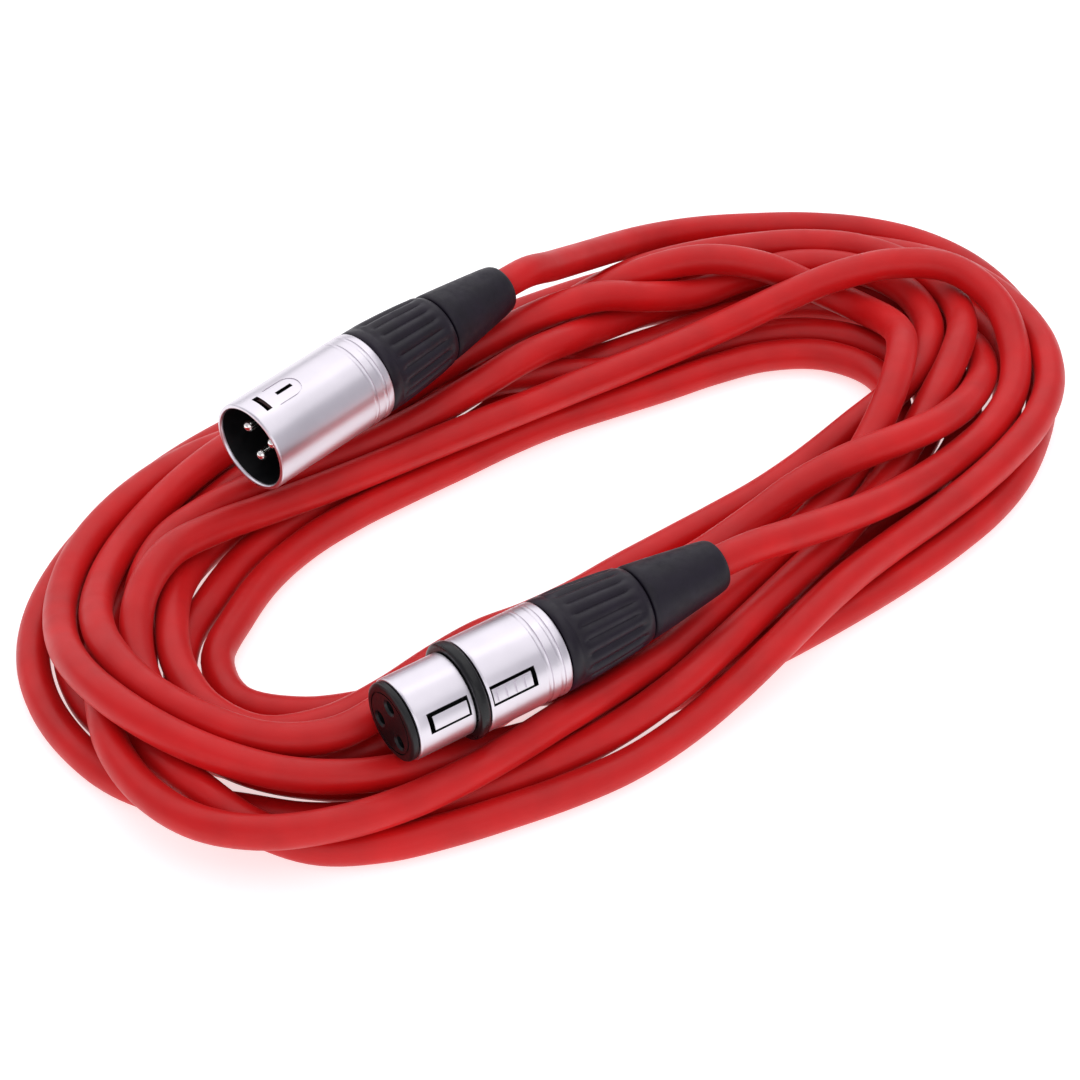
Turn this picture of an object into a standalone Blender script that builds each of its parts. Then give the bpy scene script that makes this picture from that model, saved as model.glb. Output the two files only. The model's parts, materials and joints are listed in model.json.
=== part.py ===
"""Coiled microphone lead with a plug at each end.

One red round cable lies on the floor in an oval coil of ten and a half passes.  A male
three-pin connector is on one end and a latching female connector on the other; both lie
on top of the coil.  Metres, +Z up, origin on the floor under the middle of the coil.
"""
import math

import bmesh
import bpy
import numpy as np
from mathutils import Matrix, Vector

MM = 0.001

# ---------------------------------------------------------------- cable and coil
CABLE_D = 6.6            # outside diameter of the jacket
CABLE_GAP = 0.4          # clear space kept between neighbouring passes
CABLE_SIDES = 8          # facets round the jacket
NODE_STEP = 7.0          # spacing of the points that are settled
RING_STEP = 12.5         # spacing of the rings of the finished tube
LAYER_RISE = 7.4         # height between layers before the coil settles

# The spine is the straight line the oval coil is wound about.
SPINE_A = (-40.0, -28.0)
SPINE_B = (52.0, 42.0)

# ---------------------------------------------------------------- connectors
SHELL_D = 19.0           # male shell and both nuts
MOUTH_D = 17.0           # cavity that takes the female nose
NOSE_D = 16.2            # female nose
BODY_D = 18.6            # female body behind the collar
PIN_D = 2.4
SOCKET_D = 3.1
CONTACTS = ((-3.5, 1.6), (3.5, 1.6), (0.0, -3.8))   # contact centres, key side up
UNSCREW_TURNS = 3.0
THREAD_PITCH = 1.5

MALE_AT = (-56.8, -1.4, 26.0)      # centre of the male mouth
MALE_HEADING = 46.0                # degrees, mouth to tail, from +X
MALE_ROLL = -2.0                   # key direction turned from straight up
FEMALE_AT = (-27.0, -72.1, 22.0)
FEMALE_HEADING = 34.6
FEMALE_ROLL = -64.0

MALE_LENGTH = 70.0
FEMALE_LENGTH = 73.5
MALE_CABLE_END = 31.2              # where the jacket stops inside each connector
FEMALE_CABLE_END = 37.0
CORE_HOLE = 3.65                   # bore the cable passes through
LATCH_PIVOT = (5.55, 28.5)         # height over the axis and distance from the mouth

# Where each pass of the coil runs: station, distance from the spine, layer.
# Stations 0-3 follow the front straight from left to right, 3-7 the right bend,
# 7-10 the back straight from right to left, and 10-14 the left bend.
TURN = 14.0
PASSES = (
    ((2.6, 44, 3.5), (3, 43, 3.5), (3.5, 41, 3.3), (4, 43, 3.1), (4.4, 47, 2.9), (4.8, 48, 2.7),
     (5.1, 40, 2.6), (5.5, 29, 2.6), (6.2, 22, 2.2), (7, 22, 2), (8, 24, 2), (9, 26.5, 2),
     (10, 30, 2), (11, 34.5, 2), (11.6, 38, 2), (12.2, 43, 1.6), (13, 44, 1), (14, 43.5, 1),
     (15, 44, 1)),
    ((2, 42, 1), (2.5, 42.5, 1.4), (3, 43.5, 2), (3.5, 43, 2), (3.8, 43, 1.8), (4.2, 44, 1.4),
     (4.6, 41, 1), (5, 36, 1), (5.5, 32, 1), (6.2, 29, 1), (7, 29, 1), (8, 30.5, 1),
     (9, 34.5, 1), (10, 32.5, 1), (11, 30, 1), (12, 33, 1), (13, 36, 1), (14, 33, 1),
     (15, 31, 1)),
    ((2, 29, 1), (3, 28.3, 1), (4, 24, 1), (5, 18, 1), (5.8, 13.5, 1), (6.6, 12.5, 1),
     (7.2, 15.5, 1), (8, 23.5, 1), (9, 28, 1), (10, 26, 1), (11, 23.3, 1), (12, 26, 1),
     (13, 30, 1), (14, 26.5, 1), (15, 37.5, 1)),
    ((2, 35.5, 1), (3, 35, 1), (4, 31, 1), (4.8, 26, 1), (5.5, 21.5, 1), (6.3, 21, 1),
     (7, 22.5, 1), (8, 31, 1.4), (9, 37, 1.6), (10, 37, 1.6), (11, 35, 1.6), (12, 36.5, 2),
     (12.6, 37, 2), (13, 34.5, 2), (13.5, 32.5, 2), (14, 30.5, 1.8), (14.4, 28, 1.4),
     (15, 24, 1)),
    ((2, 22.5, 1), (3, 21.5, 1), (3.5, 25, 1.6), (4, 30, 2), (4.6, 35, 2), (5.2, 38.5, 2),
     (5.8, 36, 2), (6.4, 35, 2), (7, 31, 2), (7.5, 34, 2), (8, 37, 2), (9, 38, 2),
     (10, 39, 1), (11, 41, 1), (12, 50, 1.2), (12.6, 59, 2), (13, 59, 2), (13.5, 55.5, 2),
     (14, 53, 2), (14.5, 51, 2), (15, 49, 2), (15.5, 45.5, 2)),
    ((2, 41, 2), (2.4, 37, 2), (3, 30, 2.2), (3.5, 27, 2.3), (4, 25, 2.3), (4.5, 26, 2.3),
     (5, 27.5, 2.3), (5.5, 28.5, 2.3), (6, 29, 2.3), (6.5, 31, 2.3), (7, 36, 2.3),
     (7.5, 40, 2.3), (8, 43, 2.3), (9, 45, 2.3), (10, 46, 2), (10.9, 43, 2), (11.5, 44, 2),
     (12, 45.5, 2), (12.5, 48, 2), (12.8, 45, 2), (13.3, 39, 2), (14, 36, 2), (15, 35, 2)),
    ((2, 34, 2.2), (2.5, 36, 2.8), (3, 38, 2.9), (3.5, 37, 2.7), (4, 38, 1.8), (5, 43, 1),
     (6, 36, 1), (7, 36, 1), (8, 30.5, 2), (9, 32.5, 2), (10, 36.5, 2), (11, 38, 1.2),
     (12, 39.5, 1), (13, 41, 1.2), (14, 39, 1.2), (15, 49.5, 1)),
    ((2, 49, 1), (2.5, 45.5, 1), (3, 41.8, 1), (3.5, 40, 1), (4, 41, 1), (5, 50, 1),
     (6, 43, 1), (7, 43, 1), (8, 43.5, 1), (9, 46, 1), (10, 50, 1), (11, 47, 1), (12, 49, 1),
     (12.7, 57, 1), (13, 57, 1), (13.4, 53, 1), (14, 53, 1), (14.5, 55, 1.1), (15, 58, 1.4)),
    ((2, 56.5, 2), (2.5, 54, 2), (3, 50.8, 2), (3.5, 50.3, 2), (4, 53, 2), (4.4, 53, 2),
     (4.8, 53, 1.8), (5.3, 54, 1.8), (6, 50, 1.2), (7, 50, 1), (8, 54, 1), (9, 56, 1),
     (10, 55, 1), (11, 56.5, 1), (11.6, 58, 1), (12, 55.5, 1), (12.4, 49.5, 1), (13, 49, 1.2),
     (14, 50, 1.4), (15, 52, 2)),
    ((2, 49, 2), (2.5, 44, 2), (3, 37, 2), (3.7, 33.5, 2.5), (4.2, 36, 2.6), (4.5, 39.5, 2.6),
     (4.8, 43.5, 2.6), (5.2, 46, 2.6), (5.6, 45, 2.6), (6, 42, 2.6), (6.5, 40, 2.6),
     (7.1, 43, 2.6), (7.5, 47, 2.5), (8, 50, 2.3), (9, 51, 2), (10, 52, 2), (10.7, 50, 2),
     (11.3, 51.5, 2), (12, 52, 2), (12.5, 51.5, 2), (13, 48, 2), (13.5, 46, 2), (14.2, 47, 1.4),
     (14.6, 50, 1), (15, 54, 1)),
    ((1.5, 57, 1), (2, 56.5, 1), (2.5, 54, 1), (3, 48.6, 1), (3.5, 47.5, 1), (4, 51, 1),
     (4.5, 56, 1), (5, 58, 1), (5.5, 60, 1), (6, 56, 1), (6.5, 52.5, 1.4), (6.9, 49.8, 2),
     (7.2, 47.8, 2.8), (7.45, 46, 3.4)),
)


def spine_point(s):
    """Point on the spine and outward direction for station number s."""
    a, b = np.array(SPINE_A), np.array(SPINE_B)
    along = (b - a) / np.hypot(*(b - a))
    side = np.array([-along[1], along[0]])
    s = s % TURN
    if s <= 3.0:
        return a + (b - a) * s / 3.0, -side
    if s < 7.0:
        t = math.radians(-90.0 + 45.0 * (s - 3.0))
        return b, along * math.cos(t) + side * math.sin(t)
    if s <= 10.0:
        return b + (a - b) * (s - 7.0) / 3.0, side
    t = math.radians(90.0 + 45.0 * (s - 10.0))
    return a, along * math.cos(t) + side * math.sin(t)


def heading(degrees):
    t = math.radians(degrees)
    return np.array([math.cos(t), math.sin(t), 0.0])


def catmull(values, t):
    """Smooth interpolation through values given at whole numbers."""
    n = len(values) - 1
    i = np.clip(np.floor(t).astype(int), 0, n - 1)
    f = t - i
    p0 = values[np.clip(i - 1, 0, n)]
    p1, p2 = values[i], values[i + 1]
    p3 = values[np.clip(i + 2, 0, n)]
    m1, m2 = (p2 - p0) * 0.5, (p3 - p1) * 0.5
    return ((2 * f**3 - 3 * f**2 + 1) * p1 + (f**3 - 2 * f**2 + f) * m1
            + (-2 * f**3 + 3 * f**2) * p2 + (f**3 - f**2) * m2)


def resample(path, step):
    """Points at an even spacing along a polyline."""
    seg = np.linalg.norm(np.diff(path, axis=0), axis=1)
    at = np.concatenate([[0.0], np.cumsum(seg)])
    n = max(2, int(round(at[-1] / step)) + 1)
    want = np.linspace(0.0, at[-1], n)
    return np.stack([np.interp(want, at, path[:, k]) for k in range(3)], axis=1)


def planned_path():
    """Centreline of the cable as it is meant to be laid, before it settles."""
    rows = [(lap * TURN + s, off, layer)
            for lap, way in enumerate(PASSES) for s, off, layer in way]
    rows = np.array(rows)
    index = np.linspace(0.0, len(rows) - 1.0, len(rows) * 6)
    s_at, off_at, lay_at = (catmull(rows[:, k], index) for k in range(3))
    body = []
    for s, off, lay in zip(s_at, off_at, lay_at):
        base, out = spine_point(s)
        xy = base + out * off
        body.append((xy[0], xy[1], CABLE_D / 2 + (lay - 1.0) * LAYER_RISE))
    start = np.array(FEMALE_AT) + heading(FEMALE_HEADING) * FEMALE_CABLE_END
    leave = np.array(FEMALE_AT) + heading(FEMALE_HEADING) * (FEMALE_LENGTH + 9.0)
    arrive = np.array(MALE_AT) + heading(MALE_HEADING) * (MALE_LENGTH + 9.0)
    end = np.array(MALE_AT) + heading(MALE_HEADING) * MALE_CABLE_END
    return np.vstack([[start, leave], body, [arrive, end]])


def segment_gaps(p, q, r, s):
    """Closest points of segment pairs p-q and r-s, as fractions and distances."""
    d1, d2, w = q - p, s - r, p - r
    a = np.einsum("ij,ij->i", d1, d1)
    e = np.einsum("ij,ij->i", d2, d2)
    f = np.einsum("ij,ij->i", d2, w)
    c = np.einsum("ij,ij->i", d1, w)
    b = np.einsum("ij,ij->i", d1, d2)
    den = np.maximum(a * e - b * b, 1e-9)
    u = np.clip((b * f - c * e) / den, 0.0, 1.0)
    v = np.clip((b * u + f) / np.maximum(e, 1e-9), 0.0, 1.0)
    u = np.clip((b * v - c) / np.maximum(a, 1e-9), 0.0, 1.0)
    gap = (p + d1 * u[:, None]) - (r + d2 * v[:, None])
    return u, v, gap


def connector_sleeves():
    """Short fixed rods that stand for the two connectors while the cable settles."""
    rods = []
    for at, head, spans in (
        (MALE_AT, MALE_HEADING, ((0.0, 50.0, 9.5), (50.0, 60.0, 7.6), (60.0, 68.5, 5.4))),
        (FEMALE_AT, FEMALE_HEADING,
         ((-1.0, 12.0, 8.3), (12.0, 54.0, 9.6), (54.0, 64.0, 8.0), (64.0, 72.0, 5.6))),
    ):
        for a, b, radius in spans:
            for k in range(int(math.ceil((b - a) / 8.0))):
                lo = a + 8.0 * k
                hi = min(b, lo + 8.0)
                rods.append((np.array(at) + heading(head) * lo,
                             np.array(at) + heading(head) * hi, radius))
    return (np.array([r[0] for r in rods]), np.array([r[1] for r in rods]),
            np.array([r[2] for r in rods]))


def settle(path, rounds=960):
    """Let the planned cable sink and push itself apart until no passes touch."""
    x = resample(path, NODE_STEP)
    plan = x.copy()
    n = len(x)
    reach_f = int((FEMALE_LENGTH + 8.0 - FEMALE_CABLE_END) / NODE_STEP) + 1
    reach_m = int((MALE_LENGTH + 8.0 - MALE_CABLE_END) / NODE_STEP) + 1
    free = np.ones(n, bool)
    free[:reach_f] = False
    free[n - reach_m:] = False
    loose = free.astype(float)[:, None]
    rest = np.linalg.norm(np.diff(x, axis=0), axis=1)
    rod_a, rod_b, rod_r = connector_sleeves()
    want = CABLE_D + CABLE_GAP
    ii, jj = np.triu_indices(n - 1, 6)
    pair_i = pair_j = None
    for k in range(rounds):
        late = k > rounds * 0.7
        last = k > rounds * 0.82
        pull = 0.0 if last else 0.008 if late else 0.03
        x[:, 2] -= (0.006 if last else 0.05) * free
        x[:, :2] += (plan[:, :2] - x[:, :2]) * pull * loose
        bend = x[:-2] - 2 * x[1:-1] + x[2:]
        four = np.zeros_like(x)
        four[:-2] += bend
        four[1:-1] -= 2 * bend
        four[2:] += bend
        x -= four * (0.03 if last else 0.1) * loose
        d = x[1:] - x[:-1]
        length = np.linalg.norm(d, axis=1)
        fix = (d * ((length - rest) / length)[:, None]) * 0.25
        x[:-1] += fix * loose[:-1]
        x[1:] -= fix * loose[1:]
        if k % 6 == 0:
            mid = (x[:-1] + x[1:]) * 0.5
            near = ((np.abs(mid[ii, 0] - mid[jj, 0]) < want + 8.0)
                    & (np.abs(mid[ii, 1] - mid[jj, 1]) < want + 8.0)
                    & (np.abs(mid[ii, 2] - mid[jj, 2]) < want + 3.0))
            pair_i, pair_j = ii[near], jj[near]
        for _ in range(8 if last else 3):
            u, v, gap = segment_gaps(x[pair_i], x[pair_i + 1], x[pair_j], x[pair_j + 1])
            dist = np.linalg.norm(gap, axis=1)
            short = want - dist
            hit = short > 0
            push = gap[hit] / np.maximum(dist[hit], 1e-6)[:, None] * (short[hit] * 0.22)[:, None]
            move = np.zeros_like(x)
            np.add.at(move, pair_i[hit], push * (1 - u[hit])[:, None])
            np.add.at(move, pair_i[hit] + 1, push * u[hit][:, None])
            np.add.at(move, pair_j[hit], -push * (1 - v[hit])[:, None])
            np.add.at(move, pair_j[hit] + 1, -push * v[hit][:, None])
            size = np.linalg.norm(move, axis=1)
            move *= np.minimum(1.0, 1.2 / np.maximum(size, 1e-9))[:, None]
            x += move * loose
        for a, b, radius in zip(rod_a, rod_b, rod_r):
            d = b - a
            t = np.clip(((x - a) @ d) / (d @ d), 0.0, 1.0)
            away = x - (a + t[:, None] * d)
            dist = np.linalg.norm(away, axis=1)
            short = radius + CABLE_D / 2 + 0.4 - dist
            hit = (short > 0) & free
            x[hit] += away[hit] / dist[hit][:, None] * (short[hit] * 0.5)[:, None]
        x[:, 2] = np.maximum(x[:, 2], CABLE_D / 2)
    return x


def ring_centres(x):
    """Centres of the jacket's rings: straight inside each boot, even along the coil."""
    t = np.linspace(0.0, len(x) - 1.0, len(x) * 4)
    fine = np.stack([catmull(x[:, k], t) for k in range(3)], axis=1)
    ends = []
    for at, head, length, stop in ((FEMALE_AT, FEMALE_HEADING, FEMALE_LENGTH, FEMALE_CABLE_END),
                                   (MALE_AT, MALE_HEADING, MALE_LENGTH, MALE_CABLE_END)):
        places = (stop, length - 15.0, length + 6.0)
        ends.append([np.array(at) + heading(head) * d for d in places])
    first = np.argmin(np.linalg.norm(fine[:len(fine) // 2] - ends[0][2], axis=1)) + 1
    half = len(fine) // 2
    last = half + np.argmin(np.linalg.norm(fine[half:] - ends[1][2], axis=1))
    coil = resample(np.vstack([[ends[0][2]], fine[first:last], [ends[1][2]]]), RING_STEP)
    return np.vstack([ends[0][:2], coil, ends[1][1::-1]])


def fresh_scene():
    for obj in list(bpy.data.objects):
        bpy.data.objects.remove(obj, do_unlink=True)
    for mesh in list(bpy.data.meshes):
        bpy.data.meshes.remove(mesh)


def material(name, colour, roughness, metallic=0.0):
    mat = bpy.data.materials.new(name)
    mat.use_nodes = True
    node = mat.node_tree.nodes["Principled BSDF"]
    node.inputs["Base Color"].default_value = (*colour, 1.0)
    node.inputs["Roughness"].default_value = roughness
    node.inputs["Metallic"].default_value = metallic
    mat.diffuse_color = (*colour, 1.0)
    return mat


def add_object(name, verts, faces, mat, parent=None, at=(0.0, 0.0, 0.0), smooth=35.0):
    """One closed mesh, given in millimetres about its own origin."""
    mesh = bpy.data.meshes.new(name)
    shifted = [tuple((v[k] - at[k]) * MM for k in range(3)) for v in verts]
    mesh.from_pydata(shifted, [], faces)
    bm = bmesh.new()
    bm.from_mesh(mesh)
    bmesh.ops.recalc_face_normals(bm, faces=bm.faces)
    bm.to_mesh(mesh)
    bm.free()
    mesh.shade_smooth()
    mesh.set_sharp_from_angle(angle=math.radians(smooth))
    if mat is not None:
        mesh.materials.append(mat)
    obj = bpy.data.objects.new(name, mesh)
    bpy.context.collection.objects.link(obj)
    obj.location = tuple(c * MM for c in at)
    if parent is not None:
        obj.parent = parent
    return obj


def cutter(target, name, verts, faces, parent):
    """Take a closed shape away from the target."""
    tool = add_object(name, verts, faces, None, parent)
    tool.hide_render = True
    tool.display_type = "WIRE"
    mod = target.modifiers.new(name, "BOOLEAN")
    mod.operation = "DIFFERENCE"
    mod.solver = "EXACT"
    mod.object = tool


def turned(profile, sides, flute=None):
    """Revolve a closed (z, r) outline about +Z; r = 0 points become poles."""
    verts, faces, rows = [], [], []
    for z, r in profile:
        if r <= 0.0:
            rows.append([len(verts)] * sides)
            verts.append((0.0, 0.0, z))
            continue
        row = []
        for k in range(sides):
            t = 2.0 * math.pi * k / sides
            rr = flute(z, r, k) if flute else r
            row.append(len(verts))
            verts.append((rr * math.cos(t), rr * math.sin(t), z))
        rows.append(row)
    count = len(rows)
    for i in range(count):
        a, b = rows[i], rows[(i + 1) % count]
        if profile[i][1] <= 0.0 and profile[(i + 1) % count][1] <= 0.0:
            continue
        for k in range(sides):
            n = (k + 1) % sides
            face = []
            for v in (a[k], a[n], b[n], b[k]):
                if v not in face:
                    face.append(v)
            faces.append(tuple(face))
    return verts, faces


def moved(shape, dx=0.0, dy=0.0, dz=0.0):
    verts, faces = shape
    return [(v[0] + dx, v[1] + dy, v[2] + dz) for v in verts], faces


def strip(sections):
    """Bar along +Z made of rectangles (z, half width, low y, high y)."""
    verts, faces = [], []
    for z, w, lo, hi in sections:
        verts += [(-w, lo, z), (w, lo, z), (w, hi, z), (-w, hi, z)]
    for i in range(len(sections) - 1):
        for k in range(4):
            n = (k + 1) % 4
            faces.append((4 * i + k, 4 * i + n, 4 * i + 4 + n, 4 * i + 4 + k))
    last = 4 * (len(sections) - 1)
    faces += [(0, 1, 2, 3), (last, last + 1, last + 2, last + 3)]
    return verts, faces


def cross_rod(radius, half_length, y, z, sides=12):
    """Cylinder along X."""
    verts, faces = turned(((-half_length, 0.0), (-half_length, radius),
                           (half_length, radius), (half_length, 0.0)), sides)
    return [(v[2], v[0] + y, v[1] + z) for v in verts], faces


def tube_along(path, radius, sides):
    """Round solid bar that follows a list of points, with flat ends."""
    path = [Vector(p) for p in path]
    verts, faces = [], []
    tangent = (path[1] - path[0]).normalized()
    side = tangent.cross(Vector((0.0, 0.0, 1.0)))
    if side.length < 1e-3:
        side = tangent.cross(Vector((1.0, 0.0, 0.0)))
    side.normalize()
    for i, p in enumerate(path):
        ahead = path[min(i + 1, len(path) - 1)] - path[max(i - 1, 0)]
        tangent = ahead.normalized()
        side = (side - tangent * side.dot(tangent)).normalized()
        up = tangent.cross(side)
        for k in range(sides):
            t = 2.0 * math.pi * k / sides
            verts.append(tuple(p + side * (radius * math.cos(t)) + up * (radius * math.sin(t))))
    for i in range(len(path) - 1):
        for k in range(sides):
            n = (k + 1) % sides
            faces.append((i * sides + k, i * sides + n, (i + 1) * sides + n, (i + 1) * sides + k))
    faces.append(tuple(range(sides)))
    faces.append(tuple(range(len(verts) - sides, len(verts))))
    return verts, faces


def connector_frame(name, at, head, roll):
    """Empty whose +Z runs from mouth to tail and whose +Y is the key side."""
    axis = Vector(heading(head))
    up = Vector((0.0, 0.0, 1.0))
    left = up.cross(axis)
    turn = math.radians(roll)
    key = up * math.cos(turn) + left * math.sin(turn)
    across = key.cross(axis)
    frame = bpy.data.objects.new(name, None)
    frame.empty_display_size = 0.01
    bpy.context.collection.objects.link(frame)
    rows = Matrix((across, key, axis)).transposed().to_4x4()
    frame.matrix_world = Matrix.Translation(Vector(at) * MM) @ rows
    return frame


def boot(prefix, frame, z0, z1, z2, mats):
    """Collet, ribbed clamp nut and rubber sleeve behind a shell that ends at z0."""
    collet = ((z0 + 1.5, CORE_HOLE), (z0 + 1.5, 6.4), (z0 + 9.0, 6.4), (z0 + 13.5, 5.2),
              (z0 + 13.5, CORE_HOLE))
    part = add_object(prefix + "_collet", *turned(collet, 20), mats["collet"], frame,
                      (0.0, 0.0, z0 + 1.5))
    for k in range(2):
        t = math.radians(90.0 * k + 45.0)
        half = ((-8.0, -0.6), (8.0, -0.6), (8.0, 0.6), (-8.0, 0.6))
        ring = [(x * math.cos(t) - y * math.sin(t), x * math.sin(t) + y * math.cos(t))
                for x, y in half]
        verts = [(x, y, z0 + 6.0) for x, y in ring] + [(x, y, z0 + 16.0) for x, y in ring]
        faces = [(0, 1, 2, 3), (4, 5, 6, 7), (0, 1, 5, 4), (1, 2, 6, 5), (2, 3, 7, 6), (3, 0, 4, 7)]
        cutter(part, prefix + "_collet_slot_%d" % (k + 1), verts, faces, frame)

    front, back = 9.3, 7.85

    def body(z):
        return front + (back - front) * (z - z0 - 3.0) / (z1 - z0 - 3.0)

    nut = [(z0 - 3.9, 6.75), (z0 - 3.9, 7.45), (z0 + 0.35, 7.45), (z0 + 0.35, 9.1),
           (z0 + 0.7, 9.35), (z0 + 2.2, 9.35), (z0 + 2.9, 9.0), (z0 + 3.2, body(z0 + 3.2)),
           (z0 + 9.0, body(z0 + 9.0)), (z1 - 1.6, body(z1 - 1.6)), (z1 - 1.2, 7.7), (z1, 7.5),
           (z1, 4.0), (z1 - 2.0, 4.0), (z1 - 5.0, 6.75)]

    def flute(z, r, k):
        ribbed = z0 + 3.0 < z < z1 - 1.5 and r > 7.0
        return r - 0.5 if ribbed and k % 2 else r

    add_object(prefix + "_nut", *turned(nut, 36, flute), mats["nut"], frame,
               (0.0, 0.0, z0), smooth=30.0)
    span = z2 - z1
    sleeve = [(z1 + 0.3, 7.3), (z1 + 1.0, 7.6), (z1 + span * 0.5, 6.55), (z2 - 1.6, 5.35),
              (z2 - 0.5, 5.0), (z2, 4.4), (z2, CORE_HOLE + 0.05), (z1 + 0.3, CORE_HOLE + 0.05)]
    add_object(prefix + "_sleeve", *turned(sleeve, 20), mats["sleeve"], frame,
               (0.0, 0.0, z1 + 0.3), smooth=50.0)


def wires(prefix, frame, z0, z1, colours):
    """Three cores from the contact tails to the end of the jacket."""
    for k, (x, y) in enumerate(CONTACTS):
        t = math.atan2(y, x)
        end = (1.7 * math.cos(t), 1.7 * math.sin(t))
        path = []
        for i in range(6):
            f = i / 5.0
            s = f * f * (3.0 - 2.0 * f)
            path.append((x + (end[0] - x) * s, y + (end[1] - y) * s, z0 + 0.3 + f * (z1 - z0 - 0.6)))
        add_object("%s_core_%d" % (prefix, k + 1), *tube_along(path, 0.65, 8), colours[k],
                   frame, path[0], smooth=50.0)


def box_cutter(target, name, parent, x, y, z):
    verts = [(i, j, k) for k in z for j in y for i in x]
    faces = [(0, 1, 3, 2), (4, 5, 7, 6), (0, 1, 5, 4), (2, 3, 7, 6), (0, 2, 6, 4), (1, 3, 7, 5)]
    cutter(target, name, verts, faces, parent)


def male_connector(mats):
    frame = connector_frame("male_frame", MALE_AT, MALE_HEADING, MALE_ROLL)
    r = SHELL_D / 2
    shell = add_object("male_shell", *turned((
        (0.0, r - 0.35), (0.35, r), (25.0, r), (25.3, r - 0.3), (26.0, r - 0.3), (26.3, r),
        (27.6, r), (27.9, r - 0.3), (28.6, r - 0.3), (28.9, r), (30.2, r), (30.5, r - 0.3),
        (30.5, 7.8), (12.5, 7.8), (12.5, MOUTH_D / 2), (0.8, MOUTH_D / 2), (0.0, MOUTH_D / 2 + 0.4)),
        32), mats["nickel"], frame)
    box_cutter(shell, "male_shell_latch_hole", frame, (-2.6, 2.6), (6.0, 11.0), (2.6, 4.9))
    box_cutter(shell, "male_shell_key_slot", frame, (-0.6, 0.6), (8.0, 11.0), (7.4, 11.4))
    insert = add_object("male_insert", *turned(((12.9, 0.0), (12.9, 7.5), (24.6, 7.5), (24.6, 0.0)),
                                               24), mats["insert"], frame, (0.0, 0.0, 12.9))
    for k, (x, y) in enumerate(CONTACTS):
        hole = moved(turned(((10.0, 0.0), (10.0, 1.5), (30.0, 1.5), (30.0, 0.0)), 12), x, y)
        cutter(insert, "male_insert_hole_%d" % (k + 1), *hole, frame)
        pin = ((2.0, 0.0), (2.0, 0.55), (2.8, PIN_D / 2), (27.4, PIN_D / 2), (27.4, 0.75),
               (25.4, 0.75), (25.4, 0.0))
        add_object("male_pin_%d" % (k + 1), *moved(turned(pin, 12), x, y), mats["contact"],
                   frame, (x, y, 2.0))
    washer = ((24.95, 5.5), (24.95, 7.2), (25.5, 7.2), (25.5, 5.5))
    add_object("male_earth_washer", *turned(washer, 16), mats["tin"], frame, (0.0, 0.0, 24.95))
    wires("male", frame, 27.4, MALE_CABLE_END, mats["cores"])
    boot("male", frame, 30.5, 50.5, MALE_LENGTH, mats)
    return frame


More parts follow.
